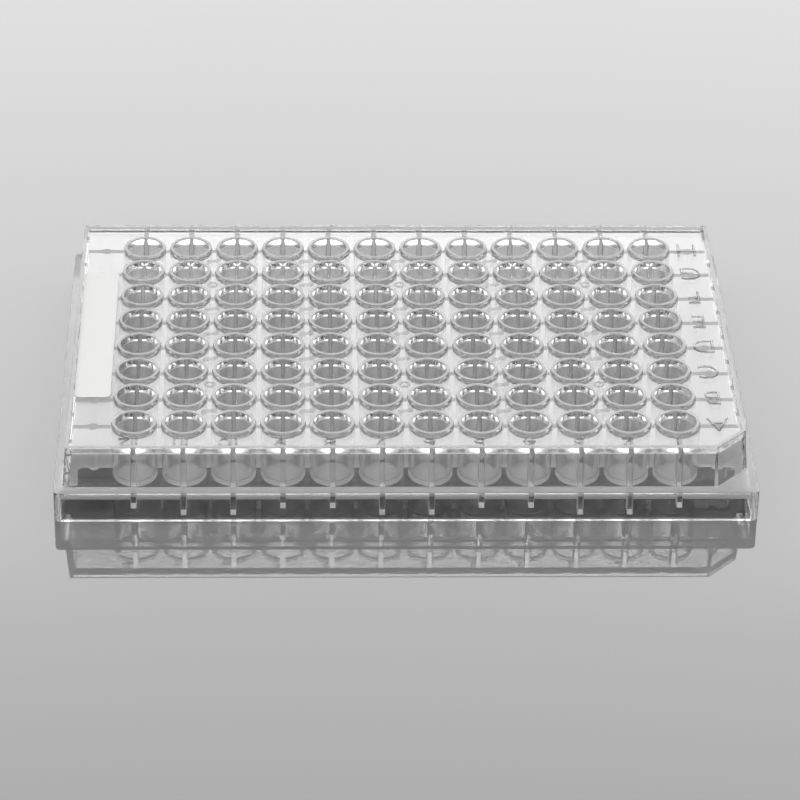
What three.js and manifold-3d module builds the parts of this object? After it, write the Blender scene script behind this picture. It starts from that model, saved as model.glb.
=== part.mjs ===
// A 96-well microplate, in millimetres: one clear moulding with a blank label on its deck.
// The plate stands on its skirt on the plane z = 0. X runs along the length, Y across the width, and the
// middle of the footprint is the origin. Well A1 is at the corner with the chamfer, at +X and -Y.
import * as THREE from "three";
import { mergeVertices } from "three/addons/utils/BufferGeometryUtils.js";
import Module from "manifold-3d";

// Wells. Each is a drafted cup in a drafted tube, with a rim that stands on the deck.
const columns = 12;
const rows = 8;
const wellPitch = 9;
const wellMouthRadius = 3.45;
const wellFloorRadius = 3.2;
const wellDepth = 10.55;
const wellFloorThickness = 0.8;
const rimWall = 0.57;
const tubeTopWall = 0.75;
const tubeBottomWall = 0.9;
const wellSides = 8;

// Skirt and ledge. The margins run from the middles of the end wells to the outside of the skirt.
const endMargin = 14.38;
const sideMargin = 11.24;
const footprintCornerRadius = 3.2;
const skirtWall = 1.1;
const ledgeTop = 6.2;
const ledgeThickness = 1;

// Outer wall, from the ledge up to the lip around the deck. The rims of the wells end level with the lip.
const plateHeight = 14.35;
const endLedgeWidth = 1.6;
const sideLedgeWidth = 2;
const wallDraft = 0.65;
const outerWall = 1.2;
const outerWallCornerRadius = 0.6;
const chamferLeg = 5.9;
const lipWidth = 0.65;
const deckRecess = 0.6;
const deckThickness = 1.2;
const cornerFacets = 2;

// Ribs under the deck, from the outer wall to the end well of each row and column. Each has a tongue that
// reaches down inside the skirt.
const rowRibThickness = 1.2;
const columnRibThickness = 1;
const ribHeight = 7.65;
const tongueWidth = 2.7;
const longTongueGap = 1;
const shortTongueGap = 2.5;

// Ejector bosses in the two end margins, one on each row's rib
const bossDiameter = 2;
const bossOffset = 7.5;
const bossSides = 6;

// Blank label on the deck, between the last column's rims and the lip
const labelLength = 45;
const labelThickness = 0.125;
const labelCornerRadius = 1;
const labelRimGap = 0.65;
const labelLipGap = 0.2;

// Derived sizes and places
const endColumnX = ((columns - 1) * wellPitch) / 2;
const endRowY = ((rows - 1) * wellPitch) / 2;
const footprintHalfLength = endColumnX + endMargin;
const footprintHalfWidth = endRowY + sideMargin;
const wallFootHalfLength = footprintHalfLength - endLedgeWidth;
const wallFootHalfWidth = footprintHalfWidth - sideLedgeWidth;
const ledgeUnderside = ledgeTop - ledgeThickness;
const deckTop = plateHeight - deckRecess;
const deckMiddle = deckTop - deckThickness / 2;
const deckUnderside = deckTop - deckThickness;
const wellFloor = plateHeight - wellDepth;
const wellBottom = wellFloor - wellFloorThickness;
const ribBottom = deckUnderside - ribHeight;
const rimRadius = wellMouthRadius + rimWall;
const wallDraftSlope = wallDraft / (plateHeight - ledgeTop);

// Cutting solids run this far past the faces that they cut through. Corner radii stay above the smallest
// one, and points closer than the merge distance are one point.
const cutClearance = 1;
const smallestRadius = 0.1;
const mergeDistance = 1e-5;

const wasm = await Module();
wasm.setup();

// ---------------------------------------------------------------------------------------------- helpers

// The closed solid of a geometry, its shared points merged.
function toSolid(geometry) {
  const bare = geometry.clone();
  bare.deleteAttribute("normal");
  bare.deleteAttribute("uv");
  const merged = mergeVertices(bare, mergeDistance);
  return new wasm.Manifold(new wasm.Mesh({
    numProp: 3,
    vertProperties: new Float32Array(merged.attributes.position.array),
    triVerts: new Uint32Array(merged.index.array),
  }));
}

function toGeometry(solid) {
  const mesh = solid.getMesh();
  const geometry = new THREE.BufferGeometry();
  geometry.setAttribute("position", new THREE.BufferAttribute(new Float32Array(mesh.vertProperties), 3));
  geometry.setIndex(new THREE.BufferAttribute(new Uint32Array(mesh.triVerts), 1));
  geometry.computeVertexNormals();
  return geometry;
}

// Adds solids in pairs, so that each join stays small.
function joinAll(solids) {
  let pending = solids;
  while (pending.length > 1) {
    const joined = [];
    for (let i = 0; i + 1 < pending.length; i += 2) joined.push(pending[i].add(pending[i + 1]));
    if (pending.length % 2 === 1) joined.push(pending[pending.length - 1]);
    pending = joined;
  }
  return pending[0];
}

// A rectangle about the origin with round corners, the arcs drawn as a few straight facets.
function roundedRectangle(halfLength, halfWidth, radius) {
  const outline = new THREE.Shape();
  outline.absarc(halfLength - radius, halfWidth - radius, radius, 0, Math.PI / 2);
  outline.absarc(-halfLength + radius, halfWidth - radius, radius, Math.PI / 2, Math.PI);
  outline.absarc(-halfLength + radius, -halfWidth + radius, radius, Math.PI, 1.5 * Math.PI);
  outline.absarc(halfLength - radius, -halfWidth + radius, radius, 1.5 * Math.PI, 2 * Math.PI);
  return outline;
}

function skirtOutline(inset) {
  const radius = Math.max(footprintCornerRadius - inset, smallestRadius);
  return roundedRectangle(footprintHalfLength - inset, footprintHalfWidth - inset, radius);
}

// The plan of the outer wall: a rectangle with the A1 chamfer at +X and -Y and three small round corners.
function wallOutline(inset) {
  const halfLength = wallFootHalfLength - inset;
  const halfWidth = wallFootHalfWidth - inset;
  const leg = chamferLeg - inset * (2 - Math.SQRT2);
  const radius = Math.max(outerWallCornerRadius - inset, smallestRadius);
  const outline = new THREE.Shape();
  outline.moveTo(halfLength, -halfWidth + leg);
  outline.lineTo(halfLength, halfWidth - radius);
  outline.absarc(halfLength - radius, halfWidth - radius, radius, 0, Math.PI / 2);
  outline.absarc(-halfLength + radius, halfWidth - radius, radius, Math.PI / 2, Math.PI);
  outline.absarc(-halfLength + radius, -halfWidth + radius, radius, Math.PI, 1.5 * Math.PI);
  outline.lineTo(halfLength - leg, -halfWidth);
  return outline;
}

function prism(outline, bottom, top) {
  const geometry = new THREE.ExtrudeGeometry(outline, {
    depth: top - bottom,
    bevelEnabled: false,
    curveSegments: cornerFacets,
  });
  geometry.translate(0, 0, bottom);
  return toSolid(geometry);
}

// A prism whose top outline is inset evenly from its bottom one, as a wall with moulding draft is.
function draftedWallPrism(inset, bottom, top) {
  const insetAt = (z) => inset + (z - ledgeTop) * wallDraftSlope;
  const lower = wallOutline(insetAt(bottom)).extractPoints(cornerFacets).shape;
  const upper = wallOutline(insetAt(top)).extractPoints(cornerFacets).shape;
  return loft(lower, upper, bottom, top);
}

// Joins two outlines with the same number of points, one above the other.
function loft(lower, upper, bottom, top) {
  const count = lower.length;
  const positions = [];
  for (const point of lower) positions.push(point.x, point.y, bottom);
  for (const point of upper) positions.push(point.x, point.y, top);
  const indices = [];
  for (const [a, b, c] of THREE.ShapeUtils.triangulateShape(lower, [])) {
    indices.push(c, b, a, a + count, b + count, c + count);
  }
  for (let i = 0; i < count; i++) {
    const next = (i + 1) % count;
    indices.push(i, next, next + count, i, next + count, i + count);
  }
  const geometry = new THREE.BufferGeometry();
  geometry.setAttribute("position", new THREE.Float32BufferAttribute(positions, 3));
  geometry.setIndex(indices);
  return toSolid(geometry);
}

// A tapered round, standing on z = bottom. Its facets face along X and Y, and its sides lie half inside
// and half outside the true circle, so that it holds the volume of the round it stands for.
function round(bottomRadius, topRadius, bottom, top, sides) {
  const facetAngle = (2 * Math.PI) / sides;
  const growth = Math.sqrt(facetAngle / Math.sin(facetAngle));
  const geometry = new THREE.CylinderGeometry(topRadius * growth, bottomRadius * growth, top - bottom, sides);
  geometry.rotateX(Math.PI / 2);
  geometry.rotateZ(facetAngle / 2);
  geometry.translate(0, 0, (top + bottom) / 2);
  return toSolid(geometry);
}

// ------------------------------------------------------------------------------------------------- shell

function shellSolid() {
  const skirt = prism(skirtOutline(0), 0, ledgeTop);
  const skirtInside = prism(skirtOutline(skirtWall), -cutClearance, ledgeUnderside);
  const wall = draftedWallPrism(0, ledgeUnderside, plateHeight);
  const wallInside = draftedWallPrism(outerWall, ledgeUnderside - cutClearance, deckUnderside);
  const aboveDeck = draftedWallPrism(lipWidth, deckTop, plateHeight + cutClearance);
  return skirt.subtract(skirtInside).add(wall).subtract(wallInside).subtract(aboveDeck);
}

// ------------------------------------------------------------------------------------------------- wells

// Column 1 is at +X and row A at -Y.
function columnX(column) {
  return endColumnX - column * wellPitch;
}

function rowY(row) {
  return row * wellPitch - endRowY;
}

function forEachWell(place) {
  for (let column = 0; column < columns; column++) {
    for (let row = 0; row < rows; row++) {
      place(columnX(column), rowY(row));
    }
  }
}

function atEachWell(solid) {
  const copies = [];
  forEachWell((x, y) => copies.push(solid.translate([x, y, 0])));
  return joinAll(copies);
}

function wellBodies() {
  const rim = round(rimRadius, rimRadius, deckMiddle, plateHeight, wellSides);
  const tube = round(
    wellFloorRadius + tubeBottomWall, wellMouthRadius + tubeTopWall, wellBottom, deckMiddle, wellSides,
  );
  return atEachWell(rim).add(atEachWell(tube));
}

function wellInsides() {
  const draft = (wellMouthRadius - wellFloorRadius) / wellDepth;
  const topRadius = wellMouthRadius + cutClearance * draft;
  return atEachWell(round(wellFloorRadius, topRadius, wellFloor, plateHeight + cutClearance, wellSides));
}

// -------------------------------------------------------------------------------------- ribs and bosses

// One rib along +X, from the middle of the end well to the inside of the walls.
function ribSolid(footprintHalf, ledgeWidth, wellCentre, tongueGap, thickness) {
  const skirtEnd = footprintHalf - skirtWall / 2;
  const wallEnd = footprintHalf - ledgeWidth - wallDraft - outerWall / 2;
  const tongueEnd = footprintHalf - skirtWall - tongueWidth;
  const ledgeMiddle = ledgeTop - ledgeThickness / 2;
  const profile = new THREE.Shape();
  profile.moveTo(wellCentre, ribBottom);
  profile.lineTo(tongueEnd, ribBottom);
  profile.lineTo(tongueEnd, tongueGap);
  profile.lineTo(skirtEnd, tongueGap);
  profile.lineTo(skirtEnd, ledgeMiddle);
  profile.lineTo(wallEnd, ledgeMiddle);
  profile.lineTo(wallEnd, deckMiddle);
  profile.lineTo(wellCentre, deckMiddle);
  const geometry = new THREE.ExtrudeGeometry(profile, { depth: thickness, bevelEnabled: false });
  geometry.translate(0, 0, -thickness / 2);
  geometry.rotateX(Math.PI / 2);
  return toSolid(geometry);
}

// Long and short tongues follow each other in pairs, with a single one of the pair at each end.
function tongueGapAt(index, endIsLong) {
  const isInnerPair = index % 4 === 1 || index % 4 === 2;
  return isInnerPair === endIsLong ? shortTongueGap : longTongueGap;
}

function rowRibs() {
  const ribs = [];
  for (let row = 0; row < rows; row++) {
    const gap = tongueGapAt(row, true);
    const rib = ribSolid(footprintHalfLength, endLedgeWidth, endColumnX, gap, rowRibThickness);
    ribs.push(rib.translate([0, rowY(row), 0]));
    ribs.push(rib.rotate([0, 0, 180]).translate([0, rowY(row), 0]));
  }
  return joinAll(ribs);
}

function columnRibs() {
  const ribs = [];
  for (let column = 0; column < columns; column++) {
    const gap = tongueGapAt(column, false);
    const rib = ribSolid(footprintHalfWidth, sideLedgeWidth, endRowY, gap, columnRibThickness);
    ribs.push(rib.rotate([0, 0, 90]).translate([columnX(column), 0, 0]));
    ribs.push(rib.rotate([0, 0, -90]).translate([columnX(column), 0, 0]));
  }
  return joinAll(ribs);
}

function bosses() {
  const boss = round(bossDiameter / 2, bossDiameter / 2, ribBottom, deckMiddle, bossSides);
  const placed = [];
  for (let row = 0; row < rows; row++) {
    for (const side of [-1, 1]) placed.push(boss.translate([side * (endColumnX + bossOffset), rowY(row), 0]));
  }
  return joinAll(placed);
}

// ------------------------------------------------------------------------------------------------- label

function labelGeometry() {
  const innerEdge = endColumnX + rimRadius + labelRimGap;
  const outerEdge = wallFootHalfLength - (deckTop - ledgeTop) * wallDraftSlope - lipWidth - labelLipGap;
  const outline = roundedRectangle((outerEdge - innerEdge) / 2, labelLength / 2, labelCornerRadius);
  const geometry = new THREE.ExtrudeGeometry(outline, {
    depth: labelThickness,
    bevelEnabled: false,
    curveSegments: cornerFacets,
  });
  geometry.translate(-(innerEdge + outerEdge) / 2, 0, 0);
  return geometry;
}

// --------------------------------------------------------------------------------------------- materials

const clearPolystyrene = new THREE.MeshStandardMaterial({
  color: 0xdfe4e6,
  roughness: 0.06,
  metalness: 0,
  transparent: true,
  opacity: 0.35,
});
const whiteLabelStock = new THREE.MeshStandardMaterial({ color: 0xf3f3f1, roughness: 0.6, metalness: 0 });

// ---------------------------------------------------------------------------------------------- assembly

const moulding = joinAll([shellSolid(), rowRibs(), columnRibs(), bosses(), wellBodies()]);
const plate = new THREE.Mesh(toGeometry(moulding.subtract(wellInsides())), clearPolystyrene);
plate.name = "plate";

const label = new THREE.Mesh(labelGeometry(), whiteLabelStock);
label.name = "label";
label.position.z = deckTop;

const wellPlate = new THREE.Group();
wellPlate.name = "well_plate";
wellPlate.add(plate, label);

export default wellPlate;
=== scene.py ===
"""A clear polystyrene microplate with 96 wells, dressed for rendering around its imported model."""

import math

import bmesh
import bpy
from bpy.props import FloatProperty, FloatVectorProperty, IntProperty, PointerProperty
from mathutils import Matrix, Vector


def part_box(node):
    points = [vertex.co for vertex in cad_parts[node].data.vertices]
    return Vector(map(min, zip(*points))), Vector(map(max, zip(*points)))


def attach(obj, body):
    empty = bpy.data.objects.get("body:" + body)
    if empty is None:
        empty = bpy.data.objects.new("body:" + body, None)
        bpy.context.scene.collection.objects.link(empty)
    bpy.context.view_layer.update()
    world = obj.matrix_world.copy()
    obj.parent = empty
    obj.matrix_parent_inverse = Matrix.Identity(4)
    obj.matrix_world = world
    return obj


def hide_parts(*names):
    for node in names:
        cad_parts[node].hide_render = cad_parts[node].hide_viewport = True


bl_info = {
    "name": "Microplate",
    "version": (1, 0, 0),
    "blender": (4, 5, 0),
    "location": "3D View > Sidebar > Microplate",
    "description": "Builds a clear microplate with its writing label, and a studio for it",
    "category": "Object",
}

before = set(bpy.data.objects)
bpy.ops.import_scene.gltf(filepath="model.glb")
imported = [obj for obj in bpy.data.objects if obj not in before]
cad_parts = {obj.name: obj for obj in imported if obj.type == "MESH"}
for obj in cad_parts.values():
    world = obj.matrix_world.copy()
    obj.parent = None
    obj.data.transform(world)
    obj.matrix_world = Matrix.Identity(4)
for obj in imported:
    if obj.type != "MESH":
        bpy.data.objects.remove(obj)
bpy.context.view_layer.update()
plate_low, plate_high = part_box("plate")
label_low, label_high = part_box("label")

MM = 0.001
COLUMN_NAMES = [str(number) for number in range(1, 13)]
ROW_NAMES = "ABCDEFGH"
WELL_SEGMENTS, MARK_SEGMENTS, BOSS_SEGMENTS = 40, 24, 16
CORNER_POINTS = 8
ROUNDING_BANDS = 2
SHARP_ANGLE = math.radians(50)
LEAST_WALL_RADIUS, LEAST_SKIRT_RADIUS = 0.05 * MM, 0.2 * MM
WELD = 0.001 * MM

# Letters, numbers and marks. SUNK is how far they reach down into the deck, and CAPITAL_SHARE the height of
# the font's capitals in its size.
SUNK = 0.3 * MM
CAPITAL_SHARE = 0.72
LINE_THINNING = 0.012
DIGIT_SPACING = 0.8
NUMERAL_STRETCH = 1.35
LETTER_INSET = 7 * MM
NUMERAL_INSET, NUMERAL_SHIFT = 5.25 * MM, 0.5 * MM
MARK_SLOPE = 0.15 * MM
FLOW_LENGTH, FLOW_BEND, FLOW_TURN = 3.6 * MM, 0.5 * MM, math.radians(47)
FLOW_TIP, FLOW_SWELL, FLOW_THINNEST = 0.12 * MM, 0.62 * MM, 0.03 * MM
FLOW_FULLNESS, FLOW_STEPS = 0.7, 14

# The finishes of the moulding's faces: the material's name, the roughness of the mould there, the share of
# light that the plastic scatters, and its colour in the sidebar.
PLASTIC_INDEX = 1.51
FINISHES = {
    "polished": ("Clear moulded polystyrene", 0.0, 0.0, "polystyrene"),
    "satin": ("Polystyrene, satin tubes", 0.2, 0.14, "polystyrene"),
    "matt": ("Polystyrene, matt webs", 0.5, 0.3, "polystyrene"),
    "cloudy": ("Polystyrene, cloudy well floor", 0.1, 0.36, "polystyrene"),
    # The rim finish's strong haze is a painted highlight: a pale layer that gives the light ring round each
    # rim.
    "rim": ("Polystyrene, rims with painted highlight", 0.3, 0.75, "polystyrene"),
    "under": ("Polystyrene, underside of the deck", 0.2, 0.02, "polystyrene"),
    "ledge": ("Polystyrene, ledge at the ends", 0.3, 0.1, "polystyrene"),
    # The edges tint is painted shade: a grey that darkens the slopes of letters and numbers and the marks.
    "edge": ("Polystyrene, steep edges and marks", 0.25, 0.0, "edges"),
    # The margin tint is painted shade: a light grey that dims the deck's margin seen from above.
    "margin": ("Polystyrene, underside of the margin", 0.2, 0.0, "margin"),
    # The wall foot's haze is painted light: a whitish veil that lifts the lower wall where the floor shows
    # through.
    "misted": ("Polystyrene, wall foot with painted light", 0.0, 0.1, "polystyrene"),
}

# The writing label.
LABEL_ROUGHNESS, LABEL_GLOW, GRAIN_STRENGTH = 0.6, 0.15, 0.15
GRAIN_SIZE, GRAIN_DEPTH = 0.4 * MM, 0.05 * MM
GRAIN_TONES = (0.97, 1.03)
LABEL_RADIUS, LABEL_ROUNDING, LABEL_GAP = 1 * MM, 0.03 * MM, 0.01 * MM

# The studio. The profiles give the light's level at heights above the horizon, in degrees.
CAMERA_PLACE = Vector((-22.431, -586.928, 374.122)) * MM
CAMERA_YAW, CAMERA_PITCH, CAMERA_ROLL = 0.03805, 0.56859, 0.02003
CAMERA_LENS, CAMERA_SENSOR = 163.77, 36
BOX_EDGE, BOX_FADE = math.radians(28), math.radians(8)
BRIGHTEST = 4.0
BOX_PROFILE = (
    (0, 0.4),
    (14, 0.4),
    (20, 3.3),
    (26, 3.5),
    (34, 3.8),
    (36, 3.2),
    (40, 2.7),
    (46, 1.6),
    (60, 0.8),
    (90, 0.4),
)
ROOM_PROFILE = ((0, 1.1), (42, 1.2), (50, 0.6), (90, 0.4))
SHEET_INDEX = 1.39
SUN_HEIGHT, SUN_TURN = math.radians(74), math.radians(-115)
SUN_POWER, SUN_SIZE = 0.55, math.radians(4)
FLOOR_REACH, FLOOR_GAP = 6.0, 0.02 * MM


# ---------------------------------------------------------------- sizes and colours


def length(name, description, millimetres):
    """A size in the sidebar. It is kept in metres and given here in millimetres."""
    return FloatProperty(
        name=name, description=description, default=millimetres * MM, unit="LENGTH", precision=5, min=0
    )


def linear(hexadecimal):
    """The linear colour of an sRGB hex value such as "e8e8e6"."""
    channels = [int(hexadecimal[i : i + 2], 16) / 255 for i in (0, 2, 4)]
    return tuple(c / 12.92 if c <= 0.04045 else ((c + 0.055) / 1.055) ** 2.4 for c in channels)


def colour(name, description, hexadecimal):
    """A colour in the sidebar, given as an sRGB hex value."""
    value = linear(hexadecimal)
    return FloatVectorProperty(
        name=name, description=description, default=value, subtype="COLOR", size=3, min=0, max=1
    )


class MICROPLATE_PG_sizes(bpy.types.PropertyGroup):
    """Sizes of the microplate. Column 1 is at +X and row A at -Y."""

    columns: IntProperty(name="Columns", description="Wells along the plate", default=12, min=1)
    rows: IntProperty(name="Rows", description="Wells across the plate", default=8, min=1)
    pitch: length("Well pitch", "From one well's axis to the next", 9)
    mouth_radius: length("Mouth radius", "Inside radius of a well at its mouth", 3.45)
    floor_radius: length("Floor radius", "Inside radius of a well at its floor", 3.2)
    floor_height: length("Floor height", "From the table to the well's floor", 3.8)
    floor_thickness: length("Floor thickness", "Under a well", 0.8)
    rim_radius: length("Rim radius", "Outside radius of the raised rim", 4.02)
    tube_top_radius: length("Tube radius, top", "Outside radius of a well under the deck", 4.2)
    tube_bottom_radius: length("Tube radius, bottom", "Outside radius of a well at its floor", 4.1)
    rim_rounding: length("Rim rounding", "Radius on both edges of the rim", 0.07)
    deck_fillet: length("Deck fillet", "Radius where the rim meets the deck", 0.15)
    tube_fillet: length("Tube fillet", "Radius where the tube meets the deck's underside", 0.12)
    floor_fillet: length("Floor fillet", "Radius round the well's floor", 0.35)
    height: length("Height", "Of the whole plate", (plate_high.z - plate_low.z) / MM)
    half_length: length(
        "Half length", "Half the footprint's length", (plate_high.x - plate_low.x) / MM / 2
    )
    half_width: length(
        "Half width", "Half the footprint's width", (plate_high.y - plate_low.y) / MM / 2
    )
    footprint_radius: length("Footprint corners", "Corner radius of the skirt", 1)
    skirt_wall: length("Skirt wall", "Thickness of the skirt", 1.1)
    ledge_top: length("Ledge height", "Top of the ledge round the outer wall", 6.2)
    ledge_thickness: length("Ledge thickness", "Of the ledge round the outer wall", 1)
    ledge_fillet: length("Ledge fillet", "Radius where the skirt meets the ledge's underside", 0.8)
    end_ledge: length("End ledge", "Width of the ledge at the plate's ends", 1.6)
    side_ledge: length("Side ledge", "Width of the ledge along the plate's sides", 2)
    wall_draft: length("Wall draft", "How far the outer wall leans in over its height", 0.65)
    outer_wall: length("Outer wall", "Thickness of the outer wall", 1.2)
    mist_top: length("Misted foot", "From the table to the top of the outer wall's misted foot", 9.6)
    wall_radius: length("Wall corners", "Corner radius of the outer wall", 0.6)
    chamfer: length("Chamfer", "Leg of the cut corner beside well A1", 5.9)
    lip_width: length("Lip", "Width of the lip round the deck", 0.65)
    deck_recess: length("Deck recess", "From the lip down to the deck", 0.6)
    deck_thickness: length("Deck thickness", "Of the deck between the wells", 1.2)
    row_web: length("Row web", "Thickness of the webs along the rows", 1.2)
    column_web: length("Column web", "Thickness of the webs along the columns", 1)
    web_bottom: length("Web bottom", "From the table to the bottom of the webs", 4.9)
    tongue_width: length("Tongue", "From the skirt's inner face to the end of a web's tongue", 2.7)
    long_gap: length("Long tongue gap", "From the table to a long tongue", 1)
    short_gap: length("Short tongue gap", "From the table to a short tongue", 2.5)
    boss_radius: length("Boss radius", "Of the round bosses on the end webs", 0.95)
    boss_offset: length("Boss offset", "From the end column's axis to the bosses", 7.5)
    character_height: length("Row letters", "Height of the raised letters", 4.7)
    numeral_height: length("Column numbers", "Height of the raised numbers", 2.9)
    relief: length("Relief", "How far letters and numbers stand out of the deck", 0.2)
    slope: length("Slope", "Width of the sloping edges of letters and numbers", 0.12)
    mark_radius: length("Ejector marks", "Radius of the ejector pins' round marks in the deck", 1.1)
    mark_relief: length("Mark relief", "How far ejector and flow marks stand out of the deck", 0.06)


class MICROPLATE_PG_colours(bpy.types.PropertyGroup):
    """Colours of the microplate and of its studio."""

    polystyrene: colour("Polystyrene", "Tint of the clear moulding", "fdfdfd")
    # Painted shade: a grey tint that darkens the steep edges of characters and the marks
    edges: colour("Edges", "The moulding at the steep edges of characters and at the marks", "b4b4b4")
    # Painted shade: a light grey that dims the clear moulding where it is seen through the deck's margin
    margin: colour("Margin", "The moulding seen through the deck's margin", "dededd")
    paper: colour("Label", "Face of the writing label", "e7e7e5")
    floor: colour("Floor", "Card under the floor's clear sheet", "747474")
    # Painted shade: every ray but the camera's own sees this darker copy of the card, in place of the
    # plate's shadow on the floor
    shade: colour("Floor, darker", "The same card through the plate and in reflections", "323232")


# ---------------------------------------------------------------- meshes


def new_object(name, build):
    """An object at the origin whose mesh is made by build(bmesh)."""
    shape = bmesh.new()
    build(shape)
    bmesh.ops.recalc_face_normals(shape, faces=shape.faces)
    mesh = bpy.data.meshes.new(name)
    shape.to_mesh(mesh)
    shape.free()
    made = bpy.data.objects.new(name, mesh)
    bpy.context.scene.collection.objects.link(made)
    return made


def removed(*objects):
    """Deletes objects with their meshes or curves."""
    for each in objects:
        data = each.data
        bpy.data.objects.remove(each)
        if isinstance(data, bpy.types.Mesh):
            bpy.data.meshes.remove(data)
        else:
            bpy.data.curves.remove(data)


def plain(source, name):
    """source with its modifiers worked into a plain mesh, in a new object. source is deleted."""
    bpy.context.view_layer.update()
    evaluated = source.evaluated_get(bpy.context.evaluated_depsgraph_get())
    mesh = bpy.data.meshes.new_from_object(evaluated)
    mesh.name = name
    removed(source)
    made = bpy.data.objects.new(name, mesh)
    bpy.context.scene.collection.objects.link(made)
    return made


def quarter(centre, radius, start, turn=90, bands=ROUNDING_BANDS):
    """Points on an arc in a profile, from start degrees on through turn degrees."""
    angles = [math.radians(start + turn * i / bands) for i in range(bands + 1)]
    return [(centre[0] + radius * math.cos(a), centre[1] + radius * math.sin(a)) for a in angles]


def lathe(shape, profile, at=(0, 0), segments=WELL_SEGMENTS):
    """A closed round. The profile's (radius, height) points go from the bottom of the axis to its top."""
    x, y = at
    angles = [2 * math.pi * (i + 0.5) / segments for i in range(segments)]
    rings = []
    for radius, height in profile:
        if radius > 0:
            places = [(x + radius * math.cos(a), y + radius * math.sin(a), height) for a in angles]
        else:
            places = [(x, y, height)]
        rings.append([shape.verts.new(place) for place in places])
    for below, above in zip(rings, rings[1:]):
        for i in range(segments):
            corners = [below[i % len(below)], below[(i + 1) % len(below)]]
            corners += [above[(i + 1) % len(above)], above[i % len(above)]]
            shape.faces.new(list(dict.fromkeys(corners)))


def loft(shape, rings):
    """A closed body through rings of the same number of (x, y, z) points, flat at both ends."""
    rings = [[shape.verts.new(point) for point in ring] for ring in rings]
    count = len(rings[0])
    for first, second in zip(rings, rings[1:]):
        for i in range(count):
            j = (i + 1) % count
            shape.faces.new((first[i], first[j], second[j], second[i]))
    shape.faces.new(rings[0])
    shape.faces.new(rings[-1])


def outline(half_length, half_width, radius, chamfer=0.0):
    """The plan of a rectangle with round corners and a cut one at +X and -Y, anticlockwise.
    It has the same number of points whatever its corners are."""
    half = CORNER_POINTS // 2
    if chamfer:
        reach = radius * math.tan(math.radians(22.5))
        front = (half_length - chamfer - reach, radius - half_width)
        side = (half_length - radius, chamfer + reach - half_width)
        points = quarter(front, radius, -90, 45, half - 1) + quarter(side, radius, -45, 45, half - 1)
    else:
        corner = (half_length - radius, radius - half_width)
        points = quarter(corner, radius, -90, 90, CORNER_POINTS - 1)
    for x, y, start in ((1, 1, 0), (-1, 1, 90), (-1, -1, 180)):
        centre = (x * (half_length - radius), y * (half_width - radius))
        points += quarter(centre, radius, start, 90, CORNER_POINTS - 1)
    return points


def box(shape, low, high):
    """A closed box between two corners."""
    matrix = Matrix.Translation([(a + b) / 2 for a, b in zip(low, high)])
    scale = Matrix.Diagonal([b - a for a, b in zip(low, high)] + [1])
    bmesh.ops.create_cube(shape, size=1, matrix=matrix @ scale)


def slab(shape, profile, to_point, thickness):
    """A flat plate with profile's points on both sides of its middle. to_point(a, b, offset) places one."""
    loft(shape, [[to_point(a, b, side * thickness / 2) for a, b in profile] for side in (-1, 1)])


# ---------------------------------------------------------------- geometry nodes


def node(tree, kind, links=(), **settings):
    """Adds a node. links are (input, value or output socket) pairs."""
    made = tree.nodes.new(kind)
    for name, value in settings.items():
        setattr(made, name, value)
    for socket, value in links:
        target = made.inputs[socket]
        if isinstance(value, bpy.types.NodeSocket):
            tree.links.new(value, target)
        else:
            target.default_value = value
    return made


def grid_tree():
    """Copies of a shape on a grid that is centred on the origin."""
    tree = bpy.data.node_groups.new("Copies on a grid", "GeometryNodeTree")
    sockets = {}
    for name, kind in (
        ("Geometry", "NodeSocketGeometry"),
        ("Columns", "NodeSocketInt"),
        ("Rows", "NodeSocketInt"),
        ("Column pitch", "NodeSocketFloat"),
        ("Row pitch", "NodeSocketFloat"),
        ("Material", "NodeSocketMaterial"),
    ):
        sockets[name] = tree.interface.new_socket(name, in_out="INPUT", socket_type=kind).identifier
    tree.interface.new_socket("Geometry", in_out="OUTPUT", socket_type="NodeSocketGeometry")
    given = node(tree, "NodeGroupInput").outputs

    def span(count, pitch):
        gaps = node(tree, "ShaderNodeMath", [(0, given[count]), (1, 1.0)], operation="SUBTRACT")
        return node(
            tree, "ShaderNodeMath", [(0, gaps.outputs[0]), (1, given[pitch])], operation="MULTIPLY"
        ).outputs[0]

    points = node(
        tree,
        "GeometryNodeMeshGrid",
        [
            ("Size X", span("Columns", "Column pitch")),
            ("Size Y", span("Rows", "Row pitch")),
            ("Vertices X", given["Columns"]),
            ("Vertices Y", given["Rows"]),
        ],
    )
    copies = node(
        tree,
        "GeometryNodeInstanceOnPoints",
        [("Points", points.outputs["Mesh"]), ("Instance", given["Geometry"])],
    )
    real = node(tree, "GeometryNodeRealizeInstances", [("Geometry", copies.outputs[0])])
    painted = node(
        tree,
        "GeometryNodeSetMaterial",
        [("Geometry", real.outputs[0]), ("Material", given["Material"])],
    )
    node(tree, "NodeGroupOutput", [("Geometry", painted.outputs[0])])
    return tree, sockets


def copied(source, columns, rows, column_pitch, row_pitch, material):
    """source on a grid, as one plain mesh in place of it."""
    tree, sockets = grid_tree()
    values = {
        "Columns": columns,
        "Rows": rows,
        "Column pitch": column_pitch,
        "Row pitch": row_pitch,
        "Material": material,
    }
    modifier = source.modifiers.new("Copies", "NODES")
    modifier.node_group = tree
    for name, value in values.items():
        modifier[sockets[name]] = value
    made = plain(source, source.name)
    bpy.data.node_groups.remove(tree)
    return made


def worked(base, solids, operation):
    """base joined with or cut by each closed solid in turn. The solids are deleted."""
    for solid in solids:
        modifier = base.modifiers.new(solid.name, "BOOLEAN")
        modifier.object = solid
        modifier.operation = operation
        modifier.solver = "MANIFOLD"
    made = plain(base, base.name)
    removed(*solids)
    shape = bmesh.new()
    shape.from_mesh(made.data)
    bmesh.ops.dissolve_degenerate(shape, dist=WELD, edges=shape.edges)
    shape.to_mesh(made.data)
    shape.free()
    return made


# ---------------------------------------------------------------- materials


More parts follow.
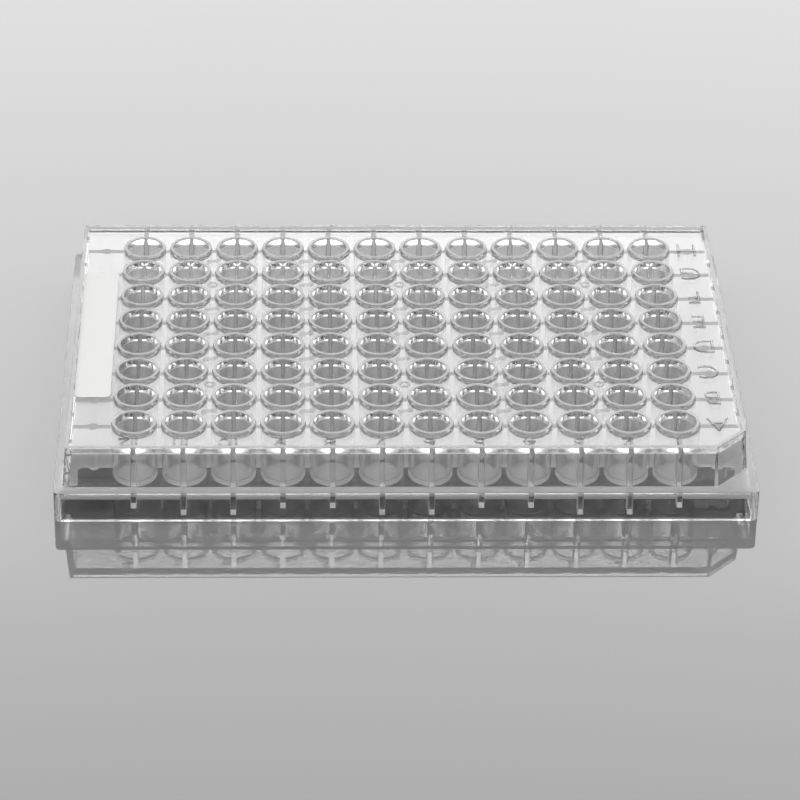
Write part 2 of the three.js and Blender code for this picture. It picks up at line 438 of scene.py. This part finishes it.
def new_material(name):
    """A material and its node tree, which is empty."""
    material = bpy.data.materials.new(name)
    material.use_nodes = True
    material.node_tree.nodes.clear()
    return material, material.node_tree


def mixed_shader(tree, share, first, second):
    """Two shaders mixed, with that share of the second."""
    return node(tree, "ShaderNodeMixShader", [("Fac", share), (1, first), (2, second)]).outputs[0]


def two_sided_fresnel(tree, index):
    """The share that a surface mirrors, the same for light on its way in and on its way out."""
    sides = node(tree, "ShaderNodeNewGeometry")
    ratio = node(
        tree,
        "ShaderNodeMapRange",
        [("Value", sides.outputs["Backfacing"]), ("To Min", index), ("To Max", 1 / index)],
    )
    return node(tree, "ShaderNodeFresnel", [("IOR", ratio.outputs[0])]).outputs[0]


def clear_polystyrene(name, roughness, haze, tint):
    """General purpose polystyrene, injection moulded: water clear and hard, with a high index that gives
    bright edges. Where the mould is rough, part of the light scatters in a haze. On the rims, the skirt's
    fillet and the wall's foot the haze is painted light, a pale layer in place of the light seen there, and
    a grey tint is painted shade. Lamps shine through the plastic, less so where they graze a wall."""
    material, tree = new_material(name)
    solid = (*tint, 1)
    clear = node(
        tree,
        "ShaderNodeBsdfPrincipled",
        [
            ("Base Color", solid),
            ("Roughness", roughness),
            ("IOR", PLASTIC_INDEX),
            ("Transmission Weight", 1.0),
        ],
    )
    shader = clear.outputs[0]
    if haze:
        back = node(tree, "ShaderNodeBsdfDiffuse", [("Color", solid)])
        through = node(tree, "ShaderNodeBsdfTranslucent", [("Color", solid)])
        cloud = mixed_shader(tree, 0.5, back.outputs[0], through.outputs[0])
        shader = mixed_shader(tree, haze, shader, cloud)
    mirrored = two_sided_fresnel(tree, PLASTIC_INDEX)
    passed = node(tree, "ShaderNodeMath", [(0, 1.0), (1, mirrored)], operation="SUBTRACT")
    shade = node(tree, "ShaderNodeBsdfTransparent", [("Color", passed.outputs[0])])
    path = node(tree, "ShaderNodeLightPath")
    surface = mixed_shader(tree, path.outputs["Is Shadow Ray"], shader, shade.outputs[0])
    node(tree, "ShaderNodeOutputMaterial", [("Surface", surface)])
    return material


def label_film(colours):
    """White coated film with a matt face for pencil or pen. A fine grain breaks up its sheen, and a little
    light shines through it."""
    material, tree = new_material("Matt white label film")
    place = node(tree, "ShaderNodeTexCoord")
    grain = node(
        tree,
        "ShaderNodeTexNoise",
        [("Vector", place.outputs["Object"]), ("Scale", 1 / GRAIN_SIZE), ("Detail", 3.0)],
    )
    tone = node(
        tree,
        "ShaderNodeMapRange",
        [("Value", grain.outputs["Fac"]), ("To Min", GRAIN_TONES[0]), ("To Max", GRAIN_TONES[1])],
    )
    paint = node(
        tree,
        "ShaderNodeVectorMath",
        [(0, colours.paper), ("Scale", tone.outputs[0])],
        operation="SCALE",
    )
    bump = node(
        tree,
        "ShaderNodeBump",
        [("Strength", GRAIN_STRENGTH), ("Distance", GRAIN_DEPTH), ("Height", grain.outputs["Fac"])],
    )
    shader = node(
        tree,
        "ShaderNodeBsdfPrincipled",
        [
            ("Base Color", paint.outputs[0]),
            ("Roughness", LABEL_ROUGHNESS),
            ("Normal", bump.outputs["Normal"]),
        ],
    )
    glow = node(tree, "ShaderNodeBsdfTranslucent", [("Color", paint.outputs[0])])
    film = mixed_shader(tree, LABEL_GLOW, shader.outputs[0], glow.outputs[0])
    node(tree, "ShaderNodeOutputMaterial", [("Surface", film)])
    return material


# ---------------------------------------------------------------- the plate


def shell_rings(size):
    """Rings from the deck's top, out over the lip, the wall and the skirt, and back up inside them to the
    deck's underside."""
    foot_length = size.half_length - size.end_ledge
    foot_width = size.half_width - size.side_ledge
    slope = size.wall_draft / (size.height - size.ledge_top)

    def wall(inset, height):
        """A ring that follows the outer wall, which leans in."""
        inset += (height - size.ledge_top) * slope
        cut = size.chamfer - inset * (2 - math.sqrt(2))
        radius = max(size.wall_radius - inset, LEAST_WALL_RADIUS)
        plan = outline(foot_length - inset, foot_width - inset, radius, cut)
        return [(x, y, height) for x, y in plan]

    def skirt(inset, height):
        """A ring that follows the skirt."""
        radius = max(size.footprint_radius - inset, LEAST_SKIRT_RADIUS)
        plan = outline(size.half_length - inset, size.half_width - inset, radius)
        return [(x, y, height) for x, y in plan]

    fine, thin, small, medium = 0.01 * MM, 0.06 * MM, 0.1 * MM, 0.15 * MM
    deck = size.height - size.deck_recess
    under_deck = deck - size.deck_thickness
    under_ledge = size.ledge_top - size.ledge_thickness
    lip, inner = size.lip_width, size.outer_wall
    profile = []

    def rounded(plan, inset, height, radius, start, turn=90, bands=ROUNDING_BANDS):
        """Adds an arc whose centre is at that inset and height. 0 degrees points outwards and 90 up."""
        for out, up in quarter((-inset, height), radius, start, turn, bands):
            profile.append(plan(-out, up))

    rounded(wall, lip + fine, deck + fine, fine, 270)
    rounded(wall, lip - fine, size.height - fine, fine, 180, -90)
    rounded(wall, small, size.height - small, small, 90, -90)
    rounded(wall, -medium, size.ledge_top + medium, medium, 180)
    rounded(skirt, medium, size.ledge_top - medium, medium, 90, -90)
    rounded(skirt, thin, plate_low.z + thin, thin, 0, -90)
    rounded(skirt, size.skirt_wall - small, plate_low.z + small, small, 270, -90)
    fillet = size.ledge_fillet
    rounded(skirt, size.skirt_wall + fillet, under_ledge - fillet, fillet, 0, bands=4)
    rounded(wall, inner - medium, under_ledge + medium, medium, 270, -90)
    profile.append(wall(inner - fine, size.mist_top))
    rounded(wall, inner + medium, under_deck - medium, medium, 0)
    return profile


def well_outside(size):
    """From the bottom of the well's axis to its top, over the tube, the fillets at the deck and the rim."""
    bottom = size.floor_height - size.floor_thickness
    deck = size.height - size.deck_recess
    under_deck = deck - size.deck_thickness
    edge, fillet, tube = 0.4 * MM, size.deck_fillet, size.tube_fillet
    rim = size.rim_radius
    inside = 0.02 * MM
    points = [(0, bottom)]
    points += quarter((size.tube_bottom_radius - edge, bottom + edge), edge, -90)
    points += quarter((size.tube_top_radius + tube, under_deck - tube), tube, 180, -90, 4)[:-1]
    points += [(size.tube_top_radius + tube, under_deck + inside)]
    points += [(rim + fillet + inside, deck - 2 * inside)]
    points += quarter((rim + fillet, deck + fillet + inside / 2), fillet, 270, -90)
    points += quarter((rim - size.rim_rounding, size.height - size.rim_rounding), size.rim_rounding, 0)
    points += [(0, size.height)]
    return points


def well_inside(size):
    """The space in a well, and on up past its mouth."""
    floor, fillet, mouth = size.floor_height, size.floor_fillet, size.rim_rounding
    step, past = 0.01 * MM, 1 * MM
    points = [(0, floor)]
    points += quarter((size.floor_radius - fillet, floor + fillet), fillet, -90)
    points += quarter((size.mouth_radius + mouth, size.height - mouth), mouth, 180, -90)[:-1]
    points += [(size.mouth_radius + mouth, size.height + step)]
    points += [(size.mouth_radius + mouth, size.height + past), (0, size.height + past)]
    return points


def tongue_profile(wall_place, skirt_place, end_place, well_place, size, gap):
    """A web's end, from the last well out to the wall and down inside the skirt to gap above the table."""
    top = size.height - size.deck_recess - size.deck_thickness / 2
    shelf = size.ledge_top - size.ledge_thickness / 2
    fillet, edge = 1 * MM, 0.3 * MM
    points = [(well_place, top), (wall_place - size.wall_draft, top), (wall_place, shelf)]
    points += [(skirt_place, shelf), (skirt_place, gap)]
    points += quarter((end_place + edge, gap + edge), edge, 270, -90)
    points += quarter((end_place - fillet, size.web_bottom - fillet), fillet, 0)
    points += [(well_place, size.web_bottom)]
    return points


def raised_text(words, place, height, size, stretch=1.0):
    """Words that stand out of the deck, read from the far side, as a closed mesh."""
    slope = size.slope * height / size.character_height
    curve = bpy.data.curves.new("words", "FONT")
    curve.body = words
    curve.size = height / CAPITAL_SHARE
    curve.resolution_u = 3
    curve.space_character = DIGIT_SPACING
    curve.offset = -LINE_THINNING * height / CAPITAL_SHARE - slope
    curve.bevel_depth = slope
    curve.bevel_resolution = 0
    curve.align_x = "CENTER"
    curve.align_y = "CENTER"
    curve.extrude = (size.relief + SUNK) / 2 - slope
    source = bpy.data.objects.new("words", curve)
    bpy.context.scene.collection.objects.link(source)
    made = plain(source, "words " + words)
    middle = size.height - size.deck_recess + (size.relief - SUNK) / 2
    made.data.transform(Matrix.Diagonal((stretch, 1, 1, 1)))
    made.data.transform(Matrix.Translation((*place, middle)) @ Matrix.Rotation(math.pi, 4, "Z"))
    shape = bmesh.new()
    shape.from_mesh(made.data)
    bmesh.ops.remove_doubles(shape, verts=shape.verts, dist=WELD)
    bmesh.ops.recalc_face_normals(shape, faces=shape.faces)
    shape.to_mesh(made.data)
    shape.free()
    return made


def characters(size):
    """The row letters by the cut corner's end, and the column numbers along row A."""
    end_column = (size.columns - 1) * size.pitch / 2
    end_row = (size.rows - 1) * size.pitch / 2
    words = []
    for i, name in enumerate(ROW_NAMES):
        place = (size.half_length - LETTER_INSET, i * size.pitch - end_row)
        words.append(raised_text(name, place, size.character_height, size))
    for i, name in enumerate(COLUMN_NAMES):
        place = (end_column - i * size.pitch - NUMERAL_SHIFT, NUMERAL_INSET - size.half_width)
        words.append(raised_text(name, place, size.numeral_height, size, NUMERAL_STRETCH))
    return words


def ejector_mark(shape, place, size):
    """The raised ring that an ejector pin leaves in the deck."""
    deck = size.height - size.deck_recess
    radius, top, dip = size.mark_radius, deck + size.mark_relief, deck + 0.01 * MM
    profile = [(0, deck - SUNK), (radius, deck - SUNK), (radius, deck), (radius - MARK_SLOPE, top)]
    profile += [(radius - 2 * MARK_SLOPE, top), (radius - 3 * MARK_SLOPE, dip), (0, dip)]
    lathe(shape, profile, place, MARK_SEGMENTS)


def flow_mark(shape, place, size):
    """A wave in the deck where the plastic flowed together: one turn of a sine, thick in the middle."""
    x, y = place
    deck = size.height - size.deck_recess
    cosine, sine = math.cos(FLOW_TURN), math.sin(FLOW_TURN)
    rings = []
    for inset, height in ((0, deck - SUNK), (0, deck), (MARK_SLOPE, deck + size.mark_relief)):
        sides = ([], [])
        for i in range(FLOW_STEPS + 1):
            t = i / FLOW_STEPS
            along = (t - 0.5) * (FLOW_LENGTH - 2 * inset)
            bend = FLOW_BEND * math.sin(2 * math.pi * t)
            width = (FLOW_TIP + FLOW_SWELL * math.sin(math.pi * t) ** FLOW_FULLNESS) - 0.5 * inset
            for half, side in zip(sides, (-1, 1)):
                half.append((along, bend + side * max(width, FLOW_THINNEST)))
        plan = sides[0] + sides[1][::-1]
        rings.append(
            [(x + a * cosine - b * sine, y + a * sine + b * cosine, height) for a, b in plan]
        )
    loft(shape, rings)


def moulding_marks(size):
    """Marks between the wells of every second gap, round ones at ejector pins and flow marks elsewhere."""
    solids = []
    for column in range(2, size.columns, 2):
        for row in range(1, size.rows):
            place = ((column - size.columns / 2) * size.pitch, (row - size.rows / 2) * size.pitch)
            at_pin = column % 4 == 2 and row % 4 == 2
            name, mark = ("ejector mark", ejector_mark) if at_pin else ("flow mark", flow_mark)
            solids.append(new_object(name, lambda shape: mark(shape, place, size)))
    return solids


class Grids:
    """Makes shapes that repeat over the plate, all in one material."""

    def __init__(self, size, material):
        self.size = size
        self.material = material
        self.end_column = (size.columns - 1) * size.pitch / 2
        self.end_row = (size.rows - 1) * size.pitch / 2
        self.middle = size.height - size.deck_recess - size.deck_thickness / 2

    def grid(self, name, build, columns=None, rows=None, column_pitch=None, row_pitch=None):
        """A shape on a grid, on that of the wells where no number or pitch is given."""
        size = self.size
        return copied(
            new_object(name, build),
            columns or size.columns,
            rows or size.rows,
            column_pitch or size.pitch,
            row_pitch or size.pitch,
            self.material,
        )

    def webs(self):
        """The webs under the deck, along the rows and along the columns."""
        size, bottom, middle = self.size, self.size.web_bottom, self.middle
        half_row, half_column = size.row_web / 2, size.column_web / 2
        x, y = self.end_column, self.end_row
        return [
            self.grid(
                "row webs",
                lambda shape: box(shape, (-x, -half_row, bottom), (x, half_row, middle)),
                columns=1,
            ),
            self.grid(
                "column webs",
                lambda shape: box(shape, (-half_column, -y, bottom), (half_column, y, middle)),
                rows=1,
            ),
        ]

    def tongues(self, along_x, gap, places):
        """Tongues of one length at both ends of their webs, repeated every four wells."""
        size = self.size
        half = size.half_length if along_x else size.half_width
        ledge = size.end_ledge if along_x else size.side_ledge
        last = self.end_column if along_x else self.end_row
        thickness = size.row_web if along_x else size.column_web
        wall = half - ledge - size.outer_wall / 2
        skirt = half - size.skirt_wall / 2
        end = half - size.skirt_wall - size.tongue_width
        profile = tongue_profile(wall, skirt, end, last + size.mouth_radius, size, gap)

        def build(shape):
            for side in (-1, 1):
                for place in places:
                    offset = (place - 1.5) * size.pitch

                    def to_point(a, b, across):
                        if along_x:
                            return (side * a, offset + across, b)
                        return (offset + across, side * a, b)

                    slab(shape, profile, to_point, thickness)

        if along_x:
            count = size.rows // 4
            return self.grid("row tongues", build, columns=1, rows=count, row_pitch=4 * size.pitch)
        count = size.columns // 4
        return self.grid("column tongues", build, columns=count, rows=1, column_pitch=4 * size.pitch)

    def bosses(self):
        """Round bosses under the webs of the two end margins."""
        size, radius, bottom = self.size, self.size.boss_radius, self.size.web_bottom
        drop, edge, flare, swell = 0.4 * MM, 0.2 * MM, 1.2 * MM, 1.3
        profile = [(0, bottom - drop)]
        profile += quarter((radius - edge, bottom - edge), edge, -90)
        profile += [(radius, self.middle - flare), (swell * radius, self.middle), (0, self.middle)]
        return self.grid(
            "bosses",
            lambda shape: lathe(shape, profile, segments=BOSS_SEGMENTS),
            columns=2,
            column_pitch=2 * (self.end_column + size.boss_offset),
        )

    def well_bodies(self):
        """The wells' tubes and rims, in four grids that each take every second column and row."""
        size = self.size
        bodies = []
        for x, y in ((0, 0), (0, 1), (1, 0), (1, 1)):
            at = ((x - 0.5) * size.pitch, (y - 0.5) * size.pitch)
            bodies.append(
                self.grid(
                    "well bodies",
                    lambda shape: lathe(shape, well_outside(size), at),
                    size.columns // 2,
                    size.rows // 2,
                    2 * size.pitch,
                    2 * size.pitch,
                )
            )
        return bodies

    def well_insides(self):
        """The space in all the wells."""
        return self.grid("well insides", lambda shape: lathe(shape, well_inside(self.size)))


class MICROPLATE_OT_plate(bpy.types.Operator):
    """Builds the clear moulding: deck, wells, wall, skirt, webs, bosses and raised characters"""

    bl_idname = "microplate.plate"
    bl_label = "Plate"

    def execute(self, context):
        size = context.scene.microplate_sizes
        colours = context.scene.microplate_colours
        materials = [
            clear_polystyrene(name, roughness, haze, getattr(colours, tint))
            for name, roughness, haze, tint in FINISHES.values()
        ]
        parts = Grids(size, materials[0])
        plate = new_object("moulded_plate", lambda shape: loft(shape, shell_rings(size)))
        solids = parts.webs()
        solids += [
            parts.tongues(False, size.short_gap, (0, 3)),
            parts.tongues(False, size.long_gap, (1, 2)),
            parts.tongues(True, size.long_gap, (0, 3)),
            parts.tongues(True, size.short_gap, (1, 2)),
        ]
        solids += [parts.bosses()]
        solids += parts.well_bodies() + characters(size) + moulding_marks(size)
        plate = worked(plate, solids, "UNION")
        plate = worked(plate, [parts.well_insides()], "DIFFERENCE")
        finish_moulding(plate, materials, size)
        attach(plate, "root")
        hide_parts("plate")
        return {"FINISHED"}


def finish_rule(size):
    """A function that gives the name of a face's finish from its middle and its normal."""
    hair, near, wide, clear = 0.02 * MM, 0.1 * MM, 0.2 * MM, 0.3 * MM
    level, nearly_level, facing = 0.9, 0.95, 0.6
    rim_top = size.height - 0.5 * size.rim_rounding
    lip = size.height - hair
    deck = size.height - size.deck_recess + hair
    mark_top = deck + size.mark_relief
    under_deck = size.height - size.deck_recess - size.deck_thickness - hair
    under_ledge = size.ledge_top - size.ledge_thickness
    in_fillet = under_ledge - size.ledge_fillet
    rim_foot = size.rim_radius + size.deck_fillet + 0.05 * MM
    well_wall = (size.mouth_radius + size.tube_bottom_radius) / 2
    end_x = size.columns * size.pitch / 2
    end_y = size.rows * size.pitch / 2
    inner_x = size.half_length - size.end_ledge - size.outer_wall
    inner_y = size.half_width - size.side_ledge - size.outer_wall
    skirt_x = size.half_length - size.skirt_wall - near
    skirt_y = size.half_width - size.skirt_wall - near
    fillet_y = skirt_y - size.ledge_fillet
    cut = inner_x + inner_y - size.chamfer - size.outer_wall

    def on_lip_behind(y, z, flat):
        return deck < z < lip and flat < 0.5 and inner_y - wide < y < inner_y + near

    def in_skirt_fillet(y, z, normal):
        slanted = abs(normal.y) > 0.1 and normal.z < -0.1
        return in_fillet < z < under_ledge and abs(y) > fillet_y and slanted

    def in_deck_fillet_behind(y, z, flat):
        behind = y > inner_y - 2 * size.wall_draft
        return under_deck - wide < z < under_deck and behind and 0.2 < flat < nearly_level

    def raised(x, y, z, on_rim):
        inside = abs(x) < inner_x - clear and abs(y) < inner_y - clear
        return deck < z < lip and inside and not on_rim

    def on_outer_wall(x, y, normal):
        on_cut = x - y > cut and normal.x * normal.y < -0.3
        on_side = abs(y) > inner_y - size.wall_draft and abs(normal.y) > facing
        on_end = abs(x) > inner_x - size.wall_draft and abs(normal.x) > facing
        return on_cut or on_side or on_end

    def finish(place, normal):
        x, y, z = place
        across = math.hypot(x % size.pitch - size.pitch / 2, y % size.pitch - size.pitch / 2)
        by_well = abs(x) < end_x and abs(y) < end_y
        flat = abs(normal.z)
        on_floor = z < size.floor_height + near and across < size.tube_bottom_radius
        if by_well and on_floor and flat > level:
            return "cloudy"
        # Painted highlight: the rim tops and the lip get the rim finish's pale haze.
        if z > (rim_top if by_well else lip) and y < inner_y:
            return "rim"
        if on_lip_behind(y, z, flat):
            return "ledge"
        # Painted light: the skirt's fillet gets the rim finish's pale haze, to look lit from the ledge
        # above.
        if in_skirt_fillet(y, z, normal):
            return "rim"
        if in_deck_fillet_behind(y, z, flat):
            return "matt"
        if raised(x, y, z, by_well and across < rim_foot):
            # Steep slopes of characters and the marks get the grey edges tint, which is painted shade.
            return "edge" if flat < nearly_level or (z < mark_top and by_well) else "polished"
        if abs(x) > size.half_length - size.end_ledge and normal.z > level:
            return "ledge"
        if abs(y) > inner_y + size.outer_wall and z > under_ledge and normal.z > level:
            return "matt"
        if under_deck - near < z < under_deck + near and normal.z < -level:
            # The margin's underside takes the margin tint, which is painted shade.
            return "under" if by_well else "margin"
        if by_well and across < well_wall and z > size.floor_height:
            return "polished"
        if by_well and across < size.tube_top_radius + near and flat < 0.8:
            return "satin"
        if z > under_deck or abs(x) > skirt_x or abs(y) > skirt_y:
            return "polished"
        if on_outer_wall(x, y, normal):
            # Painted light: the inner face of the wall's foot gets a whitish haze that brightens it.
            inward = x * normal.x + y * normal.y < 0
            return "misted" if inward and under_ledge < z < size.mist_top else "polished"
        past_wells = abs(x) > inner_x or abs(y) > inner_y
        if past_wells and normal.z < -facing and z > size.web_bottom + near:
            return "polished"
        return "matt"

    return finish


def finish_moulding(piece, materials, size):
    """Each face's finish from the mould, soft shading over roundings and crisp edges elsewhere. The
    finishes of the rims and the wall's foot carry painted light, and those of steep edges, marks and the
    margin's underside painted shade.
    """
    mesh = piece.data
    mesh.materials.clear()
    for material in materials:
        mesh.materials.append(material)
    slots = {name: slot for slot, name in enumerate(FINISHES)}
    finish = finish_rule(size)
    for face in mesh.polygons:
        face.material_index = slots[finish(face.center, face.normal)]
    mesh.shade_smooth()
    mesh.set_sharp_from_angle(angle=SHARP_ANGLE)
    modifier = piece.modifiers.new("Flat faces", "WEIGHTED_NORMAL")
    modifier.mode = "FACE_AREA"
    modifier.weight = 100
    modifier.keep_sharp = True


class MICROPLATE_OT_label(bpy.types.Operator):
    """Builds the white writing label on the margin of the deck"""

    bl_idname = "microplate.label"
    bl_label = "Label"

    def execute(self, context):
        half_x = (label_high.x - label_low.x) / 2
        half_y = (label_high.y - label_low.y) / 2
        middle = (label_low + label_high) / 2

        def build(shape):
            bottom, top = label_low.z + LABEL_GAP, label_high.z
            rings = []
            for inset, height in ((0, bottom), (0, top - LABEL_ROUNDING), (LABEL_ROUNDING, top)):
                plan = outline(half_x - inset, half_y - inset, LABEL_RADIUS - inset)
                rings.append([(x + middle.x, y + middle.y, height) for x, y in plan])
            loft(shape, rings)

        label = new_object("writing_label", build)
        label.data.materials.append(label_film(context.scene.microplate_colours))
        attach(label, "root")
        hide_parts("label")
        return {"FINISHED"}


# ---------------------------------------------------------------- studio


def make_camera(scene):
    """A long lens, looking down at the plate from in front."""
    level = Vector((math.cos(CAMERA_YAW), -math.sin(CAMERA_YAW), 0))
    ahead = Vector((math.sin(CAMERA_YAW), math.cos(CAMERA_YAW), 0)) * math.cos(CAMERA_PITCH)
    ahead.z = -math.sin(CAMERA_PITCH)
    upright = level.cross(ahead)
    right = level * math.cos(CAMERA_ROLL) + upright * math.sin(CAMERA_ROLL)
    up = upright * math.cos(CAMERA_ROLL) - level * math.sin(CAMERA_ROLL)
    data = bpy.data.cameras.new("camera")
    data.lens = CAMERA_LENS
    data.sensor_width = CAMERA_SENSOR
    data.clip_start, data.clip_end = 0.02, 50
    camera = bpy.data.objects.new("camera", data)
    turned = Matrix((right, up, -ahead)).transposed().to_4x4()
    camera.matrix_world = Matrix.Translation(CAMERA_PLACE) @ turned
    scene.collection.objects.link(camera)
    scene.camera = camera


def make_world(scene):
    """An evenly lit room with a wide soft box behind the plate."""
    world = bpy.data.worlds.new("studio")
    world.use_nodes = True
    tree = world.node_tree
    tree.nodes.clear()
    place = node(tree, "ShaderNodeTexCoord")
    parts = node(tree, "ShaderNodeSeparateXYZ", [("Vector", place.outputs["Generated"])])
    around = node(
        tree, "ShaderNodeMath", [(0, parts.outputs["X"]), (1, parts.outputs["Y"])], operation="ARCTAN2"
    )
    off = node(tree, "ShaderNodeMath", [(0, around.outputs[0])], operation="ABSOLUTE")
    beside = node(
        tree,
        "ShaderNodeMapRange",
        [
            ("Value", off.outputs[0]),
            ("From Min", BOX_EDGE - BOX_FADE),
            ("From Max", BOX_EDGE + BOX_FADE),
            ("To Min", 1.0),
            ("To Max", 0.0),
        ],
        interpolation_type="SMOOTHSTEP",
    )

    def by_height(profile):
        """Level by height above the horizon, from (degrees, level) pairs, as a share of BRIGHTEST."""
        ramp = node(tree, "ShaderNodeValToRGB", [("Fac", parts.outputs["Z"])])
        stops = ramp.color_ramp.elements
        while len(stops) < len(profile):
            stops.new(0.5)
        for stop, (degrees, level) in zip(stops, profile):
            stop.position = math.sin(math.radians(degrees))
            stop.color = (*[level / BRIGHTEST] * 3, 1)
        return ramp.outputs[0]

    strength = node(
        tree,
        "ShaderNodeMix",
        [("Factor", beside.outputs[0]), (6, by_height(ROOM_PROFILE)), (7, by_height(BOX_PROFILE))],
        data_type="RGBA",
    )
    sky = node(tree, "ShaderNodeBackground", [("Color", strength.outputs[2]), ("Strength", BRIGHTEST)])
    node(tree, "ShaderNodeOutputWorld", [("Surface", sky.outputs[0])])
    scene.world = world


def polished_sheet(colours):
    """Clear acrylic laid on grey card: both faces of the sheet mirror what stands on it, and the card under
    it stays matt. The card has its paler tone only where the camera sees it directly. Through the plate, in
    reflections and for the light that it gives back it is darker: that darker tone is painted shade, which
    stands in for the shadow that the plate casts on the card."""
    material, tree = new_material("Clear acrylic on grey card")
    path = node(tree, "ShaderNodeLightPath")
    # Painted shade: rays other than the camera's own get the darker card, in place of the plate's shadow
    tone = node(
        tree,
        "ShaderNodeMix",
        [("Factor", path.outputs["Is Camera Ray"]), (6, (*colours.shade, 1)), (7, (*colours.floor, 1))],
        data_type="RGBA",
    )
    card = node(tree, "ShaderNodeBsdfDiffuse", [("Color", tone.outputs[2])])
    mirror = node(tree, "ShaderNodeBsdfGlossy", [("Color", (1, 1, 1, 1)), ("Roughness", 0.0)])
    face = node(tree, "ShaderNodeFresnel", [("IOR", SHEET_INDEX)])
    twice = node(tree, "ShaderNodeMath", [(0, face.outputs[0]), (1, 2.0)], operation="MULTIPLY")
    all_round = node(tree, "ShaderNodeMath", [(0, face.outputs[0]), (1, 1.0)], operation="ADD")
    ratio = [(0, twice.outputs[0]), (1, all_round.outputs[0])]
    share = node(tree, "ShaderNodeMath", ratio, operation="DIVIDE")
    surface = mixed_shader(tree, share.outputs[0], card.outputs[0], mirror.outputs[0])
    node(tree, "ShaderNodeOutputMaterial", [("Surface", surface)])
    return material


def make_lamp(scene):
    """A small lamp high up in front, a little to the left."""
    data = bpy.data.lights.new("lamp", "SUN")
    data.energy = SUN_POWER
    data.angle = SUN_SIZE
    lamp = bpy.data.objects.new("lamp", data)
    level = math.cos(SUN_HEIGHT)
    towards = Vector((level * math.cos(SUN_TURN), level * math.sin(SUN_TURN), math.sin(SUN_HEIGHT)))
    turned = towards.to_track_quat("Z", "Y").to_matrix().to_4x4()
    lamp.matrix_world = Matrix.Translation(towards) @ turned
    scene.collection.objects.link(lamp)


class MICROPLATE_OT_studio(bpy.types.Operator):
    """Builds the floor, the light and the camera"""

    bl_idname = "microplate.studio"
    bl_label = "Studio"

    def execute(self, context):
        scene = context.scene

        def build(shape):
            reach, height = FLOOR_REACH, plate_low.z - FLOOR_GAP
            corners = [(-reach, -reach), (reach, -reach), (reach, reach), (-reach, reach)]
            shape.faces.new([shape.verts.new((x, y, height)) for x, y in corners])

        floor = new_object("floor", build)
        floor.data.materials.append(polished_sheet(scene.microplate_colours))
        make_world(scene)
        make_lamp(scene)
        make_camera(scene)
        scene.view_settings.view_transform = "Standard"
        scene.cycles.max_bounces = 32
        scene.cycles.transmission_bounces = 32
        scene.cycles.glossy_bounces = 12
        scene.cycles.transparent_max_bounces = 64
        scene.cycles.caustics_refractive = False
        return {"FINISHED"}


class MICROPLATE_PT_panel(bpy.types.Panel):
    """Lists the microplate's parts"""

    bl_label = "Microplate"
    bl_idname = "MICROPLATE_PT_panel"
    bl_space_type = "VIEW_3D"
    bl_region_type = "UI"
    bl_category = "Microplate"

    def draw(self, context):
        layout = self.layout
        for operator in (MICROPLATE_OT_plate, MICROPLATE_OT_label, MICROPLATE_OT_studio):
            layout.operator(operator.bl_idname)
        for group in (context.scene.microplate_colours, context.scene.microplate_sizes):
            for name in group.bl_rna.properties.keys():
                if name not in ("rna_type", "name"):
                    layout.prop(group, name)


CLASSES = (
    MICROPLATE_PG_sizes,
    MICROPLATE_PG_colours,
    MICROPLATE_OT_plate,
    MICROPLATE_OT_label,
    MICROPLATE_OT_studio,
    MICROPLATE_PT_panel,
)


def register():
    for each in CLASSES:
        bpy.utils.register_class(each)
    bpy.types.Scene.microplate_sizes = PointerProperty(type=MICROPLATE_PG_sizes)
    bpy.types.Scene.microplate_colours = PointerProperty(type=MICROPLATE_PG_colours)


def unregister():
    del bpy.types.Scene.microplate_colours
    del bpy.types.Scene.microplate_sizes
    for each in reversed(CLASSES):
        bpy.utils.unregister_class(each)


def main():
    register()
    bpy.ops.microplate.plate()
    bpy.ops.microplate.label()
    bpy.ops.microplate.studio()


if __name__ == "__main__":
    main()
